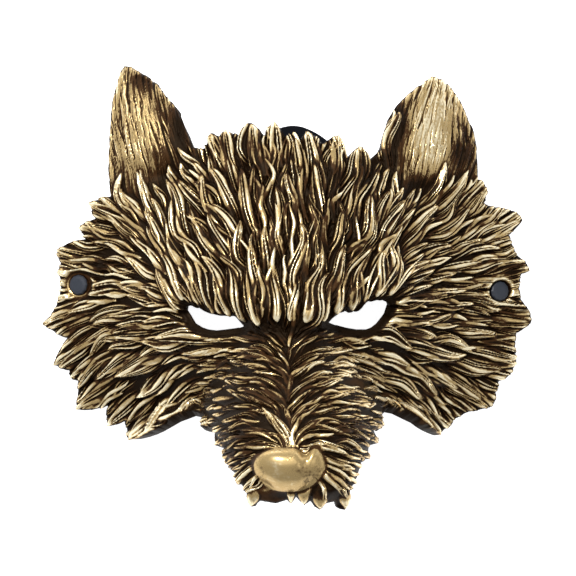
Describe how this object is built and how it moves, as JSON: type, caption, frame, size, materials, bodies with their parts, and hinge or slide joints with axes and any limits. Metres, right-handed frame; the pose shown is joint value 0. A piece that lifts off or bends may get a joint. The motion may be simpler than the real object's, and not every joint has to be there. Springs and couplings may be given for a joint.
{
  "type": "wolf masquerade half mask with elastic strap",
  "caption": "Moulded foam half mask of a snarling wolf: pricked ears, layered fur, angled eye holes, long muzzle with bare fangs, and an elastic strap riveted at the temples",
  "frame": {"origin": "on the table under the middle of the mask's outline, without its strap, which lies loose under it", "axes": "+X to the viewer's right across the mask, +Y from the fangs to the ears, +Z out of the face, up from the table on which the mask lies"},
  "size_m": [0.2442, 0.2124, 0.1081],
  "materials": {
    "gilded_foam": "moulded polyurethane foam, black base coat, antique gold dry brushed over the relief, satin",
    "rivet_plastic": "moulded slate grey plastic, satin",
    "elastic": "woven black elastic braid, matte"
  },
  "bodies": {
    "root": {"mask_shell": "gilded_foam", "rivet_cap_left": "rivet_plastic", "rivet_cap_right": "rivet_plastic", "rivet_washer_left": "rivet_plastic", "rivet_washer_right": "rivet_plastic", "elastic_strap": "elastic"}
  },
  "joints": []
}
